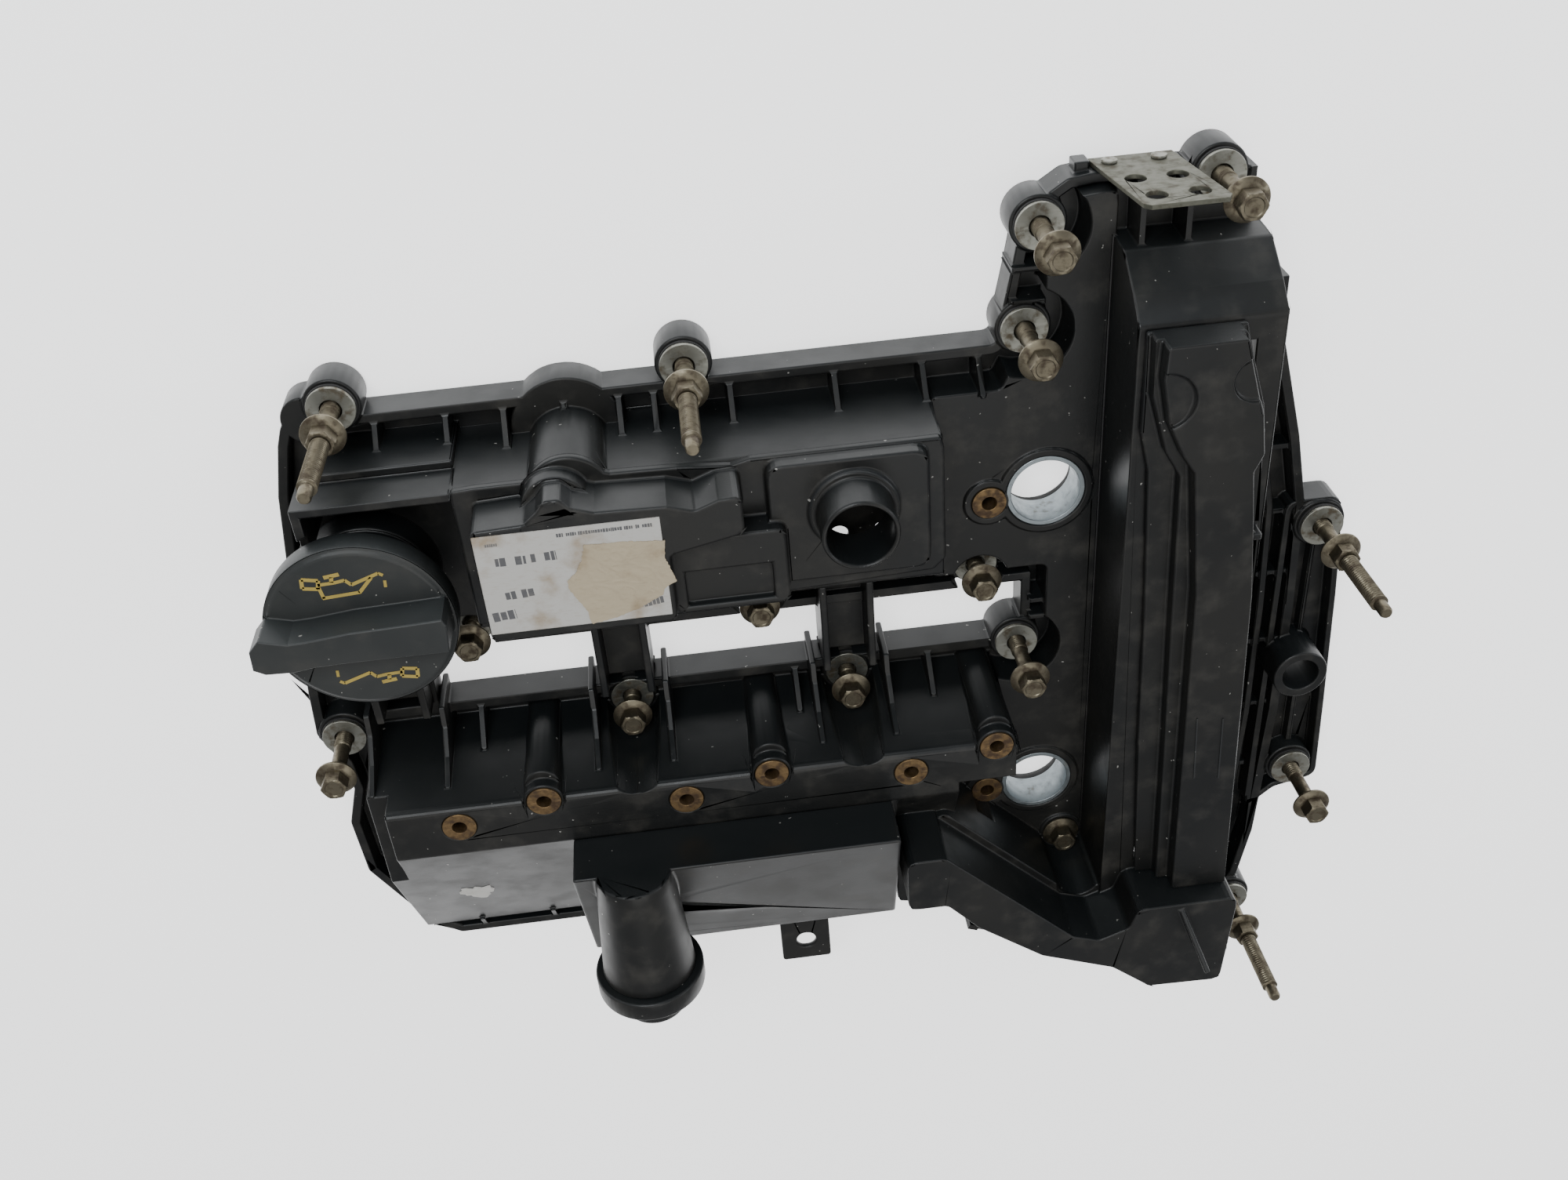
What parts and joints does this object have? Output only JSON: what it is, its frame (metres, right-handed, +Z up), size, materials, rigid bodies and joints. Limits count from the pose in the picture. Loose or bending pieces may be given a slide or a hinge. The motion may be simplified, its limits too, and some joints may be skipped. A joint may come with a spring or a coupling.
{
  "type": "camshaft cover",
  "caption": "Moulded camshaft cover with captive bolts, oil filler cap, separators, breather port and control-valve ports",
  "frame": {"origin": "gasket face, midway between the two control-valve bores across the cover and on the centre plane of the middle cylinder along it", "axes": "+X along the crankshaft toward the timing end, +Y across the cover toward the separator with the label, +Z up away from the engine"},
  "size_m": [0.3722, 0.332, 0.088],
  "materials": {
    "black_nylon": "satin glass-filled nylon",
    "cap_plastic": "satin",
    "natural_plastic": "satin",
    "clip_plastic": "matt",
    "seal_rubber": "matt",
    "gasket_rubber": "matt",
    "sleeve_steel": "turned",
    "zinc_steel": "zinc plated, dulled",
    "stained_steel": "plated, stained by oil",
    "insert_brass": "tarnished",
    "bracket_steel": "plated sheet, scratched",
    "label_paper": "stained",
    "tape_paper": "dusty masking tape"
  },
  "bodies": {
    "cover": {"cover_moulding": "black_nylon", "upper_separator": "black_nylon", "separator_baffle": "black_nylon", "lower_separator": "black_nylon", "vent_valve_outlet": "black_nylon", "timing_vent_cover": "black_nylon", "oil_filler_neck": "black_nylon", "cover_gasket": "gasket_rubber", "port_sleeve_upper": "sleeve_steel", "port_sleeve_lower": "sleeve_steel", "port_seals": "seal_rubber", "bolt_grommets": "seal_rubber", "bolt_sleeves": "zinc_steel", "inserts_row_a": "insert_brass", "inserts_row_b": "insert_brass", "inserts_deck": "insert_brass", "deck_screw": "stained_steel", "metal_bracket": "bracket_steel", "bracket_rivets": "zinc_steel", "harness_clip": "clip_plastic", "label_sheet": "label_paper", "tape_patch": "tape_paper"},
    "cap": {"oil_cap": "cap_plastic", "oil_cap_seal": "seal_rubber"},
    "poppet": {"vent_valve_poppet": "natural_plastic"},
    "stud_rear": {"stud_rear": "stained_steel"},
    "stud_middle": {"stud_middle": "stained_steel"},
    "stud_front": {"stud_front": "stained_steel"},
    "stud_corner": {"stud_corner": "stained_steel"},
    "bolt_gallery_front": {"bolt_gallery_front": "stained_steel"},
    "bolt_timing_left": {"bolt_timing_left": "stained_steel"},
    "bolt_timing_right": {"bolt_timing_right": "stained_steel"},
    "bolt_window_front": {"bolt_window_front": "stained_steel"},
    "bolt_window_rear": {"bolt_window_rear": "stained_steel"},
    "bolt_front_low": {"bolt_front_low": "stained_steel"},
    "short_bolt_rear": {"short_bolt_rear": "stained_steel"},
    "short_bolt_middle": {"short_bolt_middle": "stained_steel"},
    "short_bolt_front": {"short_bolt_front": "stained_steel"},
    "pocket_bolt_rear": {"pocket_bolt_rear": "stained_steel"},
    "pocket_bolt_front": {"pocket_bolt_front": "stained_steel"}
  },
  "joints": [
    {"name": "cap_turn", "type": "hinge", "parent": "cover", "child": "cap", "pos_m": [-0.114, 0.064, 0.046], "axis": [0, 0, 1], "range_deg": [0, 90]},
    {"name": "poppet_slide", "type": "slide", "parent": "cover", "child": "poppet", "axis": [0, -1, 0], "range_m": [0, 0.003], "stiffness_N_per_m": 20},
    {"name": "stud_rear_slide", "type": "slide", "parent": "cover", "child": "stud_rear", "axis": [0, 0, 1], "range_m": [-0.015, 0]},
    {"name": "stud_middle_slide", "type": "slide", "parent": "cover", "child": "stud_middle", "axis": [0, 0, 1], "range_m": [-0.015, 0]},
    {"name": "stud_front_slide", "type": "slide", "parent": "cover", "child": "stud_front", "axis": [0, 0, 1], "range_m": [-0.015, 0]},
    {"name": "stud_corner_slide", "type": "slide", "parent": "cover", "child": "stud_corner", "axis": [0, 0, 1], "range_m": [-0.015, 0]},
    {"name": "bolt_gallery_front_slide", "type": "slide", "parent": "cover", "child": "bolt_gallery_front", "axis": [0, 0, 1], "range_m": [-0.02, 0]},
    {"name": "bolt_timing_left_slide", "type": "slide", "parent": "cover", "child": "bolt_timing_left", "axis": [0, 0, 1], "range_m": [-0.02, 0]},
    {"name": "bolt_timing_right_slide", "type": "slide", "parent": "cover", "child": "bolt_timing_right", "axis": [0, 0, 1], "range_m": [-0.02, 0]},
    {"name": "bolt_window_front_slide", "type": "slide", "parent": "cover", "child": "bolt_window_front", "axis": [0, 0, 1], "range_m": [-0.02, 0]},
    {"name": "bolt_window_rear_slide", "type": "slide", "parent": "cover", "child": "bolt_window_rear", "axis": [0, 0, 1], "range_m": [-0.02, 0]},
    {"name": "bolt_front_low_slide", "type": "slide", "parent": "cover", "child": "bolt_front_low", "axis": [0, 0, 1], "range_m": [-0.02, 0]},
    {"name": "short_bolt_rear_slide", "type": "slide", "parent": "cover", "child": "short_bolt_rear", "axis": [0, 0, 1], "range_m": [-0.01, 0]},
    {"name": "short_bolt_middle_slide", "type": "slide", "parent": "cover", "child": "short_bolt_middle", "axis": [0, 0, 1], "range_m": [-0.01, 0]},
    {"name": "short_bolt_front_slide", "type": "slide", "parent": "cover", "child": "short_bolt_front", "axis": [0, 0, 1], "range_m": [-0.01, 0]},
    {"name": "pocket_bolt_rear_slide", "type": "slide", "parent": "cover", "child": "pocket_bolt_rear", "axis": [0, 0, 1], "range_m": [-0.01, 0]},
    {"name": "pocket_bolt_front_slide", "type": "slide", "parent": "cover", "child": "pocket_bolt_front", "axis": [0, 0, 1], "range_m": [-0.01, 0]}
  ]
}
